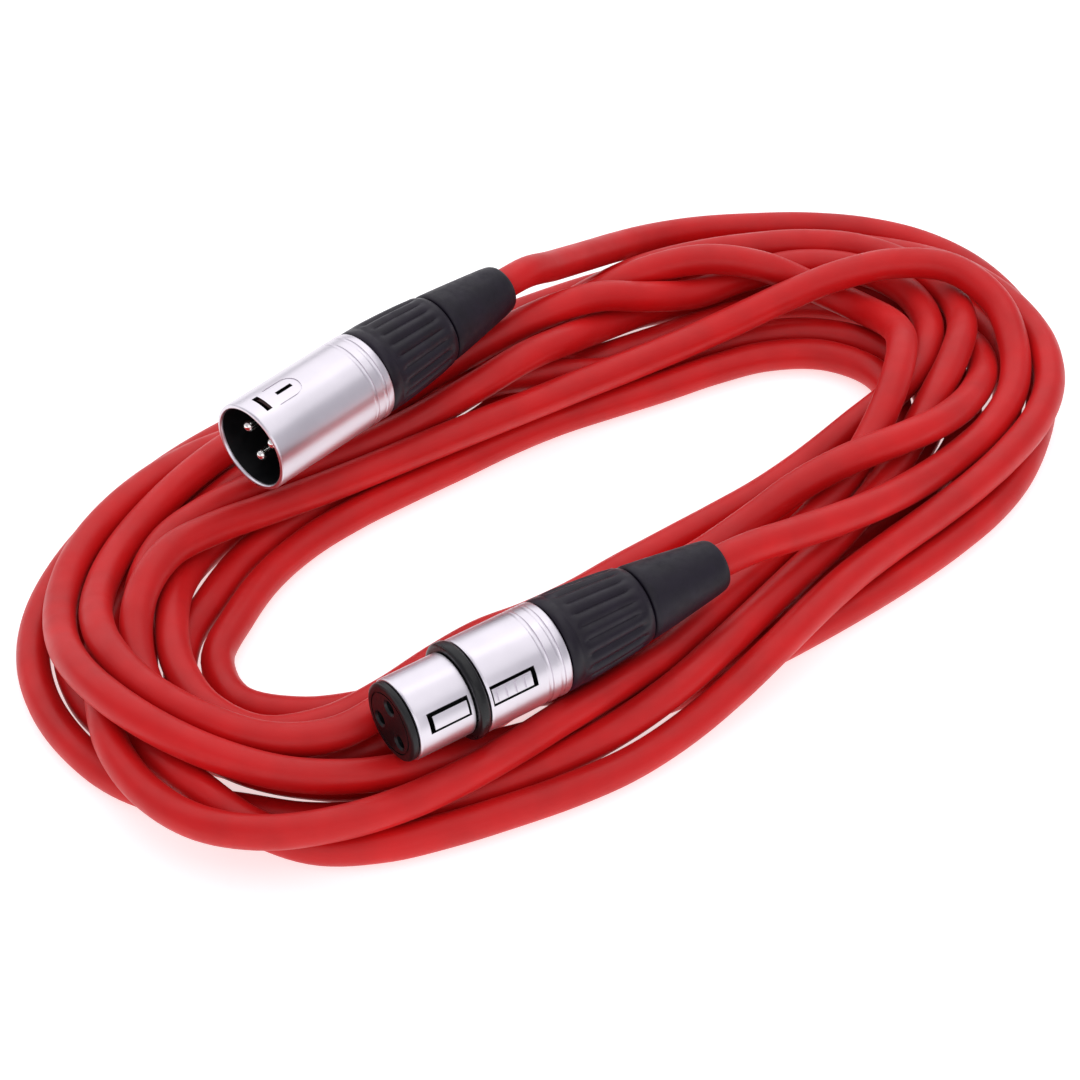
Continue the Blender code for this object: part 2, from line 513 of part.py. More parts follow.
def female_connector(mats):
    frame = connector_frame("female_frame", FEMALE_AT, FEMALE_HEADING, FEMALE_ROLL)
    n, b = NOSE_D / 2, BODY_D / 2
    shell = add_object("female_shell", *turned((
        (1.5, n - 0.3), (1.8, n), (13.3, n), (13.3, 7.65), (16.1, 7.65), (16.1, b - 0.3),
        (16.4, b), (28.5, b), (28.8, b - 0.3), (29.5, b - 0.3), (29.8, b), (31.1, b),
        (31.4, b - 0.3), (32.1, b - 0.3), (32.4, b), (33.7, b), (34.0, b - 0.3),
        (34.0, 7.8), (29.9, 7.8), (29.9, 7.1), (1.5, 7.1)), 32), mats["nickel"], frame)
    box_cutter(shell, "female_shell_hook_hole", frame, (-2.0, 2.0), (5.5, 10.0), (3.9, 12.6))
    box_cutter(shell, "female_shell_tab_hole", frame, (-2.0, 2.0), (5.5, 11.0), (16.7, 26.4))
    insert = add_object("female_insert", *turned((
        (0.0, 0.0), (0.0, 7.3), (0.4, 7.8), (1.2, 7.8), (1.2, 6.8), (29.7, 6.8), (29.7, 0.0)),
        24), mats["insert"], frame)
    box_cutter(insert, "female_insert_channel", frame, (-2.8, 2.8), (3.9, 9.0), (4.0, 40.0))
    for k, (x, y) in enumerate(CONTACTS):
        hole = moved(turned(((-2.0, 0.0), (-2.0, 1.35), (1.4, 1.35), (1.4, SOCKET_D / 2 + 0.3),
                             (40.0, SOCKET_D / 2 + 0.3), (40.0, 0.0)), 12), x, y)
        cutter(insert, "female_insert_hole_%d" % (k + 1), *hole, frame)
        rs = SOCKET_D / 2
        socket = ((1.8, 1.25), (1.8, rs), (33.0, rs), (33.0, 0.0), (17.0, 0.0), (17.0, 1.25))
        add_object("female_socket_%d" % (k + 1), *moved(turned(socket, 12), x, y), mats["contact"],
                   frame, (x, y, 1.8))
    pivot = cross_rod(0.8, 12.0, LATCH_PIVOT[0], LATCH_PIVOT[1])
    cutter(insert, "female_insert_pivot_hole", *pivot, frame)
    lever = add_object("female_latch", *strip((
        (4.9, 1.4, 5.6, 7.6), (5.3, 1.4, 5.6, 7.9), (11.9, 1.4, 5.6, 7.9), (12.2, 1.4, 5.6, 6.5),
        (17.1, 1.4, 5.6, 6.5), (17.3, 1.5, 5.6, 8.8), (17.6, 1.5, 5.6, 9.05),
        (25.3, 1.5, 5.6, 9.05), (25.6, 1.5, 5.6, 8.8), (25.8, 1.7, 5.6, 6.5),
        (27.0, 1.7, 5.6, 6.5), (27.3, 1.7, 4.5, 6.6), (29.8, 1.7, 4.5, 6.6))),
        mats["nickel"], frame, (0.0, LATCH_PIVOT[0], LATCH_PIVOT[1]))
    cutter(lever, "female_latch_pivot_hole", *cross_rod(0.8, 4.0, *LATCH_PIVOT), frame)
    add_object("female_latch_pin", *cross_rod(0.45, 3.9, *LATCH_PIVOT, sides=10), mats["tin"],
               frame, (0.0, LATCH_PIVOT[0], LATCH_PIVOT[1]))
    add_object("female_latch_spring", *strip((
        (18.5, 1.3, 4.2, 4.45), (20.0, 1.3, 4.2, 4.45), (24.0, 1.3, 4.95, 5.2),
        (25.4, 1.3, 4.2, 4.45), (26.3, 1.3, 4.2, 4.45))), mats["tin"], frame, (0.0, 4.2, 18.5))
    collar = ((13.6, 7.95), (13.6, 9.2), (14.1, 9.7), (15.3, 9.7), (15.8, 9.2), (15.8, 7.95))
    add_object("female_collar", *turned(collar, 28), mats["rubber"], frame, (0.0, 0.0, 13.6))
    washer = ((30.8, 5.7), (30.8, 6.5), (31.3, 6.5), (31.3, 5.7))
    add_object("female_earth_washer", *turned(washer, 16), mats["tin"], frame, (0.0, 0.0, 30.8))
    wires("female", frame, 33.0, FEMALE_CABLE_END, mats["cores"])
    boot("female", frame, 34.0, 54.0, FEMALE_LENGTH, mats)
    return frame


def centre_on_floor():
    """Move everything so the origin is on the floor under the middle of the coil."""
    bpy.context.view_layer.update()
    low, high = Vector((1e9, 1e9, 1e9)), Vector((-1e9, -1e9, -1e9))
    for obj in bpy.data.objects:
        if obj.type != "MESH" or obj.hide_render:
            continue
        for v in obj.data.vertices:
            p = obj.matrix_world @ v.co
            low = Vector(map(min, low, p))
            high = Vector(map(max, high, p))
    shift = Vector(((low.x + high.x) / 2, (low.y + high.y) / 2, low.z))
    for obj in bpy.data.objects:
        if obj.parent is None:
            obj.location -= shift


def main():
    fresh_scene()
    mats = {
        "jacket": material("jacket_red", (0.62, 0.022, 0.035), 0.42),
        "nickel": material("satin_nickel", (0.72, 0.71, 0.75), 0.24, 1.0),
        "insert": material("insert_black", (0.012, 0.013, 0.014), 0.45),
        "contact": material("contact_silver", (0.86, 0.85, 0.82), 0.2, 1.0),
        "tin": material("tinned_steel", (0.6, 0.6, 0.6), 0.35, 1.0),
        "collet": material("collet_grey", (0.12, 0.12, 0.13), 0.5),
        "nut": material("nut_black", (0.018, 0.016, 0.022), 0.42),
        "sleeve": material("sleeve_black", (0.015, 0.014, 0.018), 0.55),
        "rubber": material("collar_black", (0.012, 0.012, 0.013), 0.5),
        "cores": (material("core_bare", (0.55, 0.3, 0.14), 0.35, 1.0),
                  material("core_white", (0.8, 0.8, 0.78), 0.45),
                  material("core_blue", (0.05, 0.12, 0.5), 0.45)),
    }
    path = ring_centres(settle(planned_path()))
    add_object("cable_jacket", *tube_along([tuple(p) for p in path], CABLE_D / 2, CABLE_SIDES),
               mats["jacket"], smooth=60.0)
    male_connector(mats)
    female_connector(mats)
    centre_on_floor()


main()
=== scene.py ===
"""Looks for the coiled microphone lead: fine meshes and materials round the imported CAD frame.

Each connector is built in its own axes, in millimetres: z runs from the mouth to the tail
and y points to the key side.  The cable follows the CAD jacket's own rings.
"""
import json
import math

import bmesh
import bpy
import numpy as np
from mathutils import Matrix, Vector


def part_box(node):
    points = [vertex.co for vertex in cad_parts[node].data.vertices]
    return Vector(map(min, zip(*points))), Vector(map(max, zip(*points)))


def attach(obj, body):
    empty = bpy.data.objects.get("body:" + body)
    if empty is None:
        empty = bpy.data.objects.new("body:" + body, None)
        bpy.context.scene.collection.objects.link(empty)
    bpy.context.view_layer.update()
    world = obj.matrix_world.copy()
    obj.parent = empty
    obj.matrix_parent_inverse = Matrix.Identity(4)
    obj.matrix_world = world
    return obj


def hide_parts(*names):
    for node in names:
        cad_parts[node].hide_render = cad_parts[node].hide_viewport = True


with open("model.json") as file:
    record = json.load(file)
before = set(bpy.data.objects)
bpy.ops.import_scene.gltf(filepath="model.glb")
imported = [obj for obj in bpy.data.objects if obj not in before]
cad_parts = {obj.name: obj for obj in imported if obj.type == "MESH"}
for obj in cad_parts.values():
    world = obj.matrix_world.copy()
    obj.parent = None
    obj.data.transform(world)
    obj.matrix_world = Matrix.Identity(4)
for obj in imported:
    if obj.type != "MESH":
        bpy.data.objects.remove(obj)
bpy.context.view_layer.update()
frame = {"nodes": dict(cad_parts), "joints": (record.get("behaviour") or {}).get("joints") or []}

MM = 0.001
TAU = 2.0 * math.pi

# ---------------------------------------------------------------- sizes in mm, as in the CAD
JACKET_R = 3.3
MALE_SHELL_END = 30.5        # where each clamp nut starts, from the mouth
FEMALE_SHELL_END = 34.0
FEMALE_CABLE_END = 37.0
NUT_LENGTH = 20.0
MALE_TAIL = 70.0
FEMALE_TAIL = 73.5
SHELL_R = 9.5
MOUTH_R = 8.5
NOSE_R = 8.1
BODY_R = 9.3
INNER_R = 7.8
PIN_R = 1.2
PIN_TIP = 2.0                # from the mouth's edge
CONTACTS = ((-3.5, 1.6), (3.5, 1.6), (0.0, -3.8))
LATCH_PIVOT = (5.55, 28.5)
AXLE_R = 0.8

# ---------------------------------------------------------------- fine detail, in mm
JACKET_STEP = 1.8            # spacing of the fine tube's rings
JACKET_SIDES = 22
LAY_LENGTH = 34.0            # the cores' twist that shows faintly through the jacket
LAY_DEPTH = 0.035
FLUTES = 20                  # grip flutes round each clamp nut
FLUTE_DEPTH = 0.45
RIDGE_HEIGHT = 0.1
GROOVE_SPACING = 2.7
GROOVE_DEPTH = 0.3
MARK_WIDTH = 0.3             # the thin arch round the male shell's window
LATCH_SHIFT = -0.22          # hook and tab sit nearer one side of their slots
LATCH_EDGE = 0.12
SMOOTH_BELOW = 32.0          # degrees between faces that still shade as one surface

# ---------------------------------------------------------------- studio, in m and degrees
FLOOR_HALF = 6.0
CAMERA_AIM = Vector((-0.0046, -0.0055, 0.0))
CAMERA_RANGE = 0.6263
CAMERA_TILT = 43.0
CAMERA_FIELD = 19.76


# ---------------------------------------------------------------- places from the frame
def joint(name):
    return next(j for j in frame["joints"] if j["name"] == name)


def axes(origin, key, along):
    """Matrix whose z is along and whose y is the key side, for lengths in metres."""
    across = key.cross(along).normalized()
    key = along.cross(across)
    rows = Matrix((across, key, along)).transposed().to_4x4()
    return Matrix.Translation(origin) @ rows


def node_centre(name):
    low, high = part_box(name)
    return (low + high) / 2


def male_axes():
    turn = joint("male_nut_turn")
    along = Vector(turn["axis"]).normalized()
    origin = Vector(turn["pos_m"]) - along * (MALE_SHELL_END * MM)
    pins = [node_centre("male_pin_%d" % k) for k in (1, 2, 3)]
    key = (pins[0] + pins[1]) / 2 - pins[2]
    return axes(origin, key - along * key.dot(along), along)


def female_axes():
    turn = joint("female_nut_turn")
    along = Vector(turn["axis"]).normalized()
    origin = Vector(turn["pos_m"]) - along * (FEMALE_SHELL_END * MM)
    across = -Vector(joint("latch_press")["axis"])
    return axes(origin, along.cross(across), along)


# ---------------------------------------------------------------- materials
class Shader:
    """A Principled material and short ways to feed its sockets."""

    def __init__(self, name, colour, roughness, metallic=0.0):
        self.material = bpy.data.materials.new(name)
        self.material.use_nodes = True
        self.tree = self.material.node_tree
        self.body = self.tree.nodes["Principled BSDF"]
        self.body.inputs["Base Color"].default_value = (*colour, 1.0)
        self.body.inputs["Roughness"].default_value = roughness
        self.body.inputs["Metallic"].default_value = metallic
        self.colour = colour
        self.coords = self.tree.nodes.new("ShaderNodeTexCoord").outputs["Object"]
        self.bumps = None

    def link(self, a, b):
        self.tree.links.new(a, b)

    def noise(self, size_mm, detail=4.0, stretch=(1.0, 1.0, 1.0)):
        """Noise whose features are about size_mm across."""
        mapping = self.tree.nodes.new("ShaderNodeMapping")
        mapping.inputs["Scale"].default_value = stretch
        self.link(self.coords, mapping.inputs["Vector"])
        node = self.tree.nodes.new("ShaderNodeTexNoise")
        node.inputs["Scale"].default_value = 1.0 / (size_mm * MM)
        node.inputs["Detail"].default_value = detail
        node.inputs["Roughness"].default_value = 0.55
        self.link(mapping.outputs["Vector"], node.inputs["Vector"])
        return node.outputs["Fac"]

    def ramp(self, fac, low, high):
        """Spread the middle of a noise from low to high."""
        node = self.tree.nodes.new("ShaderNodeMapRange")
        node.inputs["From Min"].default_value = 0.3
        node.inputs["From Max"].default_value = 0.7
        node.inputs["To Min"].default_value = low
        node.inputs["To Max"].default_value = high
        self.link(fac, node.inputs["Value"])
        return node.outputs["Result"]

    def vary_roughness(self, fac, low, high):
        self.link(self.ramp(fac, low, high), self.body.inputs["Roughness"])

    def vary_colour(self, fac, dark, light):
        node = self.tree.nodes.new("ShaderNodeMix")
        node.data_type = "RGBA"
        node.inputs["A"].default_value = (*[c * dark for c in self.colour], 1.0)
        node.inputs["B"].default_value = (*[min(1.0, c * light) for c in self.colour], 1.0)
        self.link(self.ramp(fac, 0.0, 1.0), node.inputs["Factor"])
        self.link(node.outputs["Result"], self.body.inputs["Base Color"])

    def bump(self, fac, height_mm, strength):
        node = self.tree.nodes.new("ShaderNodeBump")
        node.inputs["Strength"].default_value = strength
        node.inputs["Distance"].default_value = height_mm * MM
        self.link(fac, node.inputs["Height"])
        if self.bumps is not None:
            self.link(self.bumps, node.inputs["Normal"])
        self.bumps = node.outputs["Normal"]
        self.link(self.bumps, self.body.inputs["Normal"])


def red_jacket():
    s = Shader("pvc_jacket_red", (0.585, 0.006, 0.007), 0.42)
    s.body.inputs["Specular IOR Level"].default_value = 0.32
    s.body.inputs["Sheen Weight"].default_value = 0.04
    s.body.inputs["Sheen Roughness"].default_value = 0.4
    s.body.inputs["Sheen Tint"].default_value = (1.0, 0.55, 0.55, 1.0)
    s.vary_colour(s.noise(14.0, 3.0), 0.86, 1.1)
    s.vary_roughness(s.noise(5.0, 5.0), 0.36, 0.52)
    s.bump(s.noise(0.5, 2.0), 0.02, 0.35)
    s.bump(s.noise(4.0, 2.0), 0.05, 0.3)
    return s.material


def satin_nickel():
    s = Shader("satin_nickel_plate", (0.73, 0.69, 0.74), 0.34, 1.0)
    s.vary_colour(s.noise(9.0, 4.0), 0.95, 1.02)
    s.vary_roughness(s.noise(0.25, 2.0), 0.32, 0.36)
    s.bump(s.noise(0.2, 2.0), 0.001, 0.25)
    return s.material


def moulded_black():
    s = Shader("moulded_nylon_black", (0.008, 0.0045, 0.0115), 0.42)
    s.body.inputs["Specular IOR Level"].default_value = 0.3
    s.vary_colour(s.noise(6.0, 4.0), 0.75, 1.35)
    s.vary_roughness(s.noise(2.0, 5.0), 0.34, 0.52)
    s.bump(s.noise(0.35, 2.0), 0.02, 0.5)
    return s.material


def soft_black():
    s = Shader("soft_sleeve_black", (0.007, 0.0042, 0.0105), 0.5)
    s.body.inputs["Specular IOR Level"].default_value = 0.3
    s.vary_colour(s.noise(5.0, 4.0), 0.75, 1.4)
    s.vary_roughness(s.noise(1.6, 5.0), 0.42, 0.6)
    s.bump(s.noise(0.3, 2.0), 0.03, 0.5)
    return s.material


# Black insert plastic; the same material is also painted shade on the shells' inner and slot
# walls and on the latch's sides.
def insert_black():
    s = Shader("insert_plastic_black_and_painted_shade", (0.004, 0.004, 0.005), 0.38)
    s.body.inputs["Specular IOR Level"].default_value = 0.36
    s.vary_roughness(s.noise(1.5, 4.0), 0.3, 0.5)
    s.bump(s.noise(0.3, 2.0), 0.01, 0.4)
    return s.material


def collar_black():
    s = Shader("collar_rubber_black", (0.004, 0.004, 0.005), 0.28)
    s.body.inputs["Specular IOR Level"].default_value = 0.34
    s.vary_roughness(s.noise(1.2, 4.0), 0.24, 0.36)
    s.bump(s.noise(0.25, 2.0), 0.02, 0.5)
    return s.material


def bright_metal(name, colour, roughness):
    s = Shader(name, colour, roughness, 1.0)
    s.vary_roughness(s.noise(0.7, 4.0, stretch=(1.0, 1.0, 4.0)), roughness * 0.7, roughness * 1.5)
    s.bump(s.noise(0.4, 2.0), 0.004, 0.5)
    return s.material


def plain_plastic(name, colour, roughness):
    s = Shader(name, colour, roughness)
    s.vary_colour(s.noise(1.5, 3.0), 0.85, 1.1)
    s.vary_roughness(s.noise(0.8, 3.0), roughness * 0.85, roughness * 1.15)
    s.bump(s.noise(0.3, 2.0), 0.01, 0.4)
    return s.material


# ---------------------------------------------------------------- mesh tools
def make_object(name, verts, faces, place, material, sharp=SMOOTH_BELOW):
    """Closed mesh from millimetre points in a connector's axes."""
    mesh = bpy.data.meshes.new(name)
    mesh.from_pydata([(x * MM, y * MM, z * MM) for x, y, z in verts], [], faces)
    bm = bmesh.new()
    bm.from_mesh(mesh)
    bmesh.ops.recalc_face_normals(bm, faces=bm.faces)
    bm.to_mesh(mesh)
    bm.free()
    mesh.shade_smooth()
    mesh.set_sharp_from_angle(angle=math.radians(sharp))
    if material is not None:
        mesh.materials.append(material)
    obj = bpy.data.objects.new(name, mesh)
    bpy.context.scene.collection.objects.link(obj)
    obj.matrix_world = place
    return obj


def turned(profile, sides, radius=None):
    """Revolve a closed (z, r) outline about z; radius(z, r, angle) may reshape it."""
    verts, faces, rows = [], [], []
    for z, r in profile:
        if r <= 0.0:
            rows.append([len(verts)] * sides)
            verts.append((0.0, 0.0, z))
            continue
        rows.append(list(range(len(verts), len(verts) + sides)))
        for k in range(sides):
            t = TAU * k / sides
            rr = radius(z, r, t) if radius else r
            verts.append((rr * math.sin(t), rr * math.cos(t), z))
    for i, a in enumerate(rows):
        b = rows[(i + 1) % len(rows)]
        if a[0] == a[1] and b[0] == b[1]:
            continue
        for k in range(sides):
            n = (k + 1) % sides
            face = []
            for v in (a[k], a[n], b[n], b[k]):
                if v not in face:
                    face.append(v)
            faces.append(tuple(face))
    return verts, faces


def rounded(points, radius, steps):
    """Round the marked corners of an outline; points are (z, r) or (z, r, True)."""
    out = []
    count = len(points)
    for i, p in enumerate(points):
        if len(p) < 3:
            out.append(p)
            continue
        here = Vector(p[:2])
        before = Vector(points[i - 1][:2])
        after = Vector(points[(i + 1) % count][:2])
        reach = min(radius, (before - here).length * 0.45, (after - here).length * 0.45)
        a = here + (before - here).normalized() * reach
        b = here + (after - here).normalized() * reach
        for k in range(steps + 1):
            f = k / steps
            q = a * (1 - f) ** 2 + here * (2 * f * (1 - f)) + b * f * f
            out.append((q.x, q.y))
    return out


def wrapped_bar(path, width, low, high, base):
    """Bar that follows (arc, z) points on a cylinder of radius base, from radius low to high."""
    points = [Vector(p) for p in path]
    verts, faces = [], []
    for i, p in enumerate(points):
        ahead = points[min(i + 1, len(points) - 1)] - p
        behind = p - points[max(i - 1, 0)]
        unit = (ahead.normalized() + behind.normalized()).normalized()
        side = Vector((-unit.y, unit.x))
        turn = ahead.normalized() if ahead.length > 0 else behind.normalized()
        mitre = 1.0 / max(0.5, abs(Vector((-turn.y, turn.x)).dot(side)))
        for s, r in ((-1, low), (1, low), (1, high), (-1, high)):
            q = p + side * (s * width / 2 * mitre)
            t = q.x / base
            verts.append((r * math.sin(t), r * math.cos(t), q.y))
    for i in range(len(points) - 1):
        for k in range(4):
            n = (k + 1) % 4
            faces.append((4 * i + k, 4 * i + n, 4 * i + 4 + n, 4 * i + 4 + k))
    last = len(verts) - 4
    faces += [(0, 1, 2, 3), (last, last + 1, last + 2, last + 3)]
    return verts, faces


def wrapped_block(half, z0, z1, low, high, base):
    """Curved block across the key side, moved aside by LATCH_SHIFT."""
    path = [(LATCH_SHIFT - half + half * k / 4.0, (z0 + z1) / 2) for k in range(9)]
    return wrapped_bar(path, abs(z1 - z0), low, high, base)


def block(x, y, z):
    verts = [(i, j, k) for k in z for j in y for i in x]
    faces = [(0, 1, 3, 2), (4, 5, 7, 6), (0, 1, 5, 4), (2, 3, 7, 6), (0, 2, 6, 4), (1, 3, 7, 5)]
    return verts, faces


def shifted(shape, dx, dy):
    verts, faces = shape
    return [(x + dx, y + dy, z) for x, y, z in verts], faces


def cut(obj, shapes, operation="DIFFERENCE"):
    """Boolean the object with millimetre shapes in its own axes, and keep the result."""
    tools = []
    for shape in shapes:
        tool = make_object(obj.name + "_tool", *shape, obj.matrix_world, None)
        mod = obj.modifiers.new("cut", "BOOLEAN")
        mod.operation = operation
        mod.solver = "EXACT"
        mod.object = tool
        tools.append(tool)
    bpy.context.view_layer.update()
    graph = bpy.context.evaluated_depsgraph_get()
    mesh = bpy.data.meshes.new_from_object(obj.evaluated_get(graph))
    obj.modifiers.clear()
    obj.data = mesh
    mesh.shade_smooth()
    mesh.set_sharp_from_angle(angle=math.radians(SMOOTH_BELOW))
    for tool in tools:
        bpy.data.objects.remove(tool, do_unlink=True)


def paint_shade_black(obj, material, *zones):
    """Painted shade: a second material, the black one, on faces nearer the axis than a radius, in
    zones (radius, z0, z1), where bores and slot walls lie in shade.
    """
    obj.data.materials.append(material)
    for face in obj.data.polygons:
        x, y, z = (c / MM for c in face.center)
        if any(math.hypot(x, y) < r and z0 < z < z1 for r, z0, z1 in zones):
            face.material_index = 1


def soften(obj, width_mm):
    """Small rounded edges."""
    mod = obj.modifiers.new("edges", "BEVEL")
    mod.width = width_mm * MM
    mod.segments = 2
    mod.limit_method = "ANGLE"
    mod.angle_limit = math.radians(40.0)
    mod.harden_normals = True


def stand_in(obj, body, slot, *nodes):
    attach(obj, body)
    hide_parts(*nodes)


# ---------------------------------------------------------------- cable
def jacket_rings(place):
    """Centres of the CAD jacket's rings, from the female connector, at place, to the male."""
    mesh = frame["nodes"]["cable_jacket"].data
    key_of, points = {}, []
    index = []
    for v in mesh.vertices:
        key = tuple(round(c * 1e5) for c in v.co)
        if key not in key_of:
            key_of[key] = len(points)
            points.append(np.array(v.co))
        index.append(key_of[key])
    neighbours = [set() for _ in points]
    for e in mesh.edges:
        a, b = index[e.vertices[0]], index[e.vertices[1]]
        if a != b:
            neighbours[a].add(b)
            neighbours[b].add(a)
    end = np.array(place @ Vector((0.0, 0.0, FEMALE_CABLE_END * MM)))
    away = [float(np.linalg.norm(p - end)) for p in points]
    reach = min(away) + 0.5 * MM
    ring = {k for k, d in enumerate(away) if d < reach}
    seen, centres = set(ring), []
    while ring:
        centres.append(np.mean([points[k] for k in ring], axis=0))
        ring = {n for k in ring for n in neighbours[k]} - seen
        seen |= ring
    return np.array(centres) / MM


def smooth_path(points, step):
    """Even points along a curve through the given ones, and their distances."""
    fine = []
    count = len(points)
    for i in range(count - 1):
        p0, p1 = points[max(i - 1, 0)], points[i]
        p2, p3 = points[i + 1], points[min(i + 2, count - 1)]
        span = np.linalg.norm(p2 - p1)
        m1 = (p2 - p0) / max(np.linalg.norm(p2 - p1) + np.linalg.norm(p1 - p0), 1e-6) * span
        m2 = (p3 - p1) / max(np.linalg.norm(p3 - p2) + np.linalg.norm(p2 - p1), 1e-6) * span
        for f in np.linspace(0.0, 1.0, 16, endpoint=False):
            fine.append((2 * f**3 - 3 * f**2 + 1) * p1 + (f**3 - 2 * f**2 + f) * m1
                        + (3 * f**2 - 2 * f**3) * p2 + (f**3 - f**2) * m2)
    fine.append(points[-1])
    fine = np.array(fine)
    at = np.concatenate([[0.0], np.cumsum(np.linalg.norm(np.diff(fine, axis=0), axis=1))])
    want = np.linspace(0.0, at[-1], int(at[-1] / step) + 1)
    return np.stack([np.interp(want, at, fine[:, k]) for k in range(3)], axis=1), want


def build_jacket(place, material):
    path, at = smooth_path(jacket_rings(place), JACKET_STEP)
    tangent = np.gradient(path, axis=0)
    tangent /= np.linalg.norm(tangent, axis=1)[:, None]
    side = np.cross(tangent[0], (0.0, 0.0, 1.0))
    angles = np.arange(JACKET_SIDES) * TAU / JACKET_SIDES
    verts = []
    for p, t, s in zip(path, tangent, at):
        side = side - t * side.dot(t)
        side /= np.linalg.norm(side)
        up = np.cross(t, side)
        lay = 0.5 + 0.5 * np.cos(2.0 * angles - TAU * s / LAY_LENGTH)
        r = JACKET_R - LAY_DEPTH * lay
        ring = p + np.outer(r * np.cos(angles), side) + np.outer(r * np.sin(angles), up)
        verts.extend(map(tuple, ring))
    faces = []
    n = JACKET_SIDES
    for i in range(len(path) - 1):
        for k in range(n):
            j = (k + 1) % n
            faces.append((i * n + k, i * n + j, (i + 1) * n + j, (i + 1) * n + k))
    faces.append(tuple(range(n)))
    faces.append(tuple(range(len(verts) - n, len(verts))))
    obj = make_object("fine_jacket", verts, faces, Matrix.Identity(4), material, 50.0)
    stand_in(obj, "lead", "jacket_red", "cable_jacket")


# ---------------------------------------------------------------- boots
def build_nut(prefix, place, start, material):
    """Clamp nut: spigot inside the shell, smooth front ring, fluted barrel, tail edge."""
    end = start + NUT_LENGTH
    first, last = start + 3.0, end - 1.3

    def barrel(z):
        f = (z - start - 2.0) / (end - start - 2.0)
        return 9.3 - 1.45 * max(0.0, f) ** 1.5

    outer = [(start + 0.35, 7.45), (start + 0.35, 8.85), (start + 0.65, 9.2),
             (start + 1.1, 9.3), (start + 2.3, 9.3), (start + 2.6, 9.12), (first, 9.15)]
    rows = 34
    outer += [(first + (last - first) * k / rows, barrel(first + (last - first) * k / rows))
              for k in range(1, rows + 1)]
    outer += [(end - 0.9, 7.8), (end - 0.45, 7.66), (end - 0.1, 7.45), (end, 7.2), (end, 4.0),
              (end - 2.0, 4.0), (end - 5.0, 6.75), (start - 3.9, 6.75), (start - 3.9, 7.3),
              (start - 3.7, 7.45)]

    def radius(z, r, t):
        if not first - 0.1 <= z <= last + 0.1 or r < 7.5:
            return r
        fade = min(1.0, (z - first) / 2.2, (last - z) / 3.0)
        fade = max(0.0, fade)
        fade = fade * fade * (3.0 - 2.0 * fade)
        wave = 0.5 + 0.5 * math.cos(FLUTES * t)
        return r - FLUTE_DEPTH * fade * (1.0 - wave ** 0.4) + RIDGE_HEIGHT * fade * wave

    obj = make_object("fine_%s_nut" % prefix, *turned(outer, FLUTES * 10, radius), place,
                      material, 40.0)
    stand_in(obj, prefix + "_boot", "nut_black", prefix + "_nut")


def build_sleeve(prefix, place, start, end, material):
    span = end - start
    outer = [(start + 0.05, 6.8), (start + 0.3, 6.8), (start + 0.3, 7.15), (start + 0.5, 7.42),
             (start + 0.9, 7.58)]
    for k in range(1, 15):
        f = k / 15.0
        outer.append((start + 0.9 + (span - 2.4) * f, 7.58 - 2.18 * f ** 1.08))
    outer += [(end - 1.3, 5.32), (end - 0.75, 5.16), (end - 0.3, 4.9), (end - 0.05, 4.55),
              (end, 4.2), (end, 3.75), (start + 0.05, 3.75)]
    obj = make_object("fine_%s_sleeve" % prefix, *turned(outer, 96), place, material, 45.0)
    stand_in(obj, prefix + "_boot", "sleeve_black", prefix + "_sleeve")


def groove_pair(start, radius):
    """Outline of two shallow turned grooves that start at z = start, and the land after."""
    out = []
    floor = radius - GROOVE_DEPTH
    for z in (start, start + GROOVE_SPACING):
        out += [(z, radius), (z + 0.12, floor + 0.08), (z + 0.3, floor),
                (z + 0.8, floor), (z + 0.98, floor + 0.08), (z + 1.1, radius)]
    return out


# ---------------------------------------------------------------- male connector
def build_male(place, mats):
    outer = [(0.0, 8.75), (0.0, 9.15), (0.1, 9.34), (0.3, 9.46), (0.5, SHELL_R), (9.0, SHELL_R),
             (17.0, SHELL_R)]
    outer += groove_pair(25.1, SHELL_R)
    outer += [(30.1, SHELL_R), (30.35, 9.4), (MALE_SHELL_END, 9.2), (MALE_SHELL_END, INNER_R),
              (12.5, INNER_R), (12.5, MOUTH_R), (0.6, MOUTH_R), (0.2, 8.58)]
    shell = make_object("fine_male_shell", *turned(outer, 128), place, mats["nickel"])
    arch = [(-2.7, 6.2), (-2.7, 10.6)]
    arch += [(-2.7 * math.cos(t), 10.6 + 2.4 * math.sin(t))
             for t in np.linspace(0.12, math.pi - 0.12, 11)]
    arch += [(2.7, 10.6), (2.7, 6.2)]
    cut(shell, [block((-2.3, 2.3), (6.0, 11.0), (3.0, 4.4)),
                block((-0.45, 0.45), (8.0, 11.0), (7.4, 11.4)),
                wrapped_bar(arch, MARK_WIDTH, SHELL_R - 0.22, SHELL_R + 1.0, SHELL_R)])
    # Painted shade: the mouth's inner wall, the window's walls and the mark slots' walls get the
    # black material, where shade falls on the nickel.
    paint_shade_black(shell, mats["insert"], (8.56, 0.55, 12.6), (9.4, 2.9, 4.5), (9.2, 7.3, 11.5))
    stand_in(shell, "lead", "satin_nickel", "male_shell")
    for k, (x, y) in enumerate(CONTACTS):
        tip = [(PIN_TIP + PIN_R * (1.0 - math.cos(a)), PIN_R * math.sin(a))
               for a in np.linspace(0.0, math.pi / 2, 9)]
        pin = tip + [(27.4, PIN_R), (27.4, 0.75), (25.4, 0.75), (25.4, 0.0)]
        obj = make_object("fine_male_pin_%d" % (k + 1), *shifted(turned(pin, 32), x, y), place,
                          mats["contact"], 40.0)
        stand_in(obj, "lead", "contact_silver", "male_pin_%d" % (k + 1))
    build_nut("male", place, MALE_SHELL_END, mats["nut"])
    build_sleeve("male", place, MALE_SHELL_END + NUT_LENGTH, MALE_TAIL, mats["sleeve"])


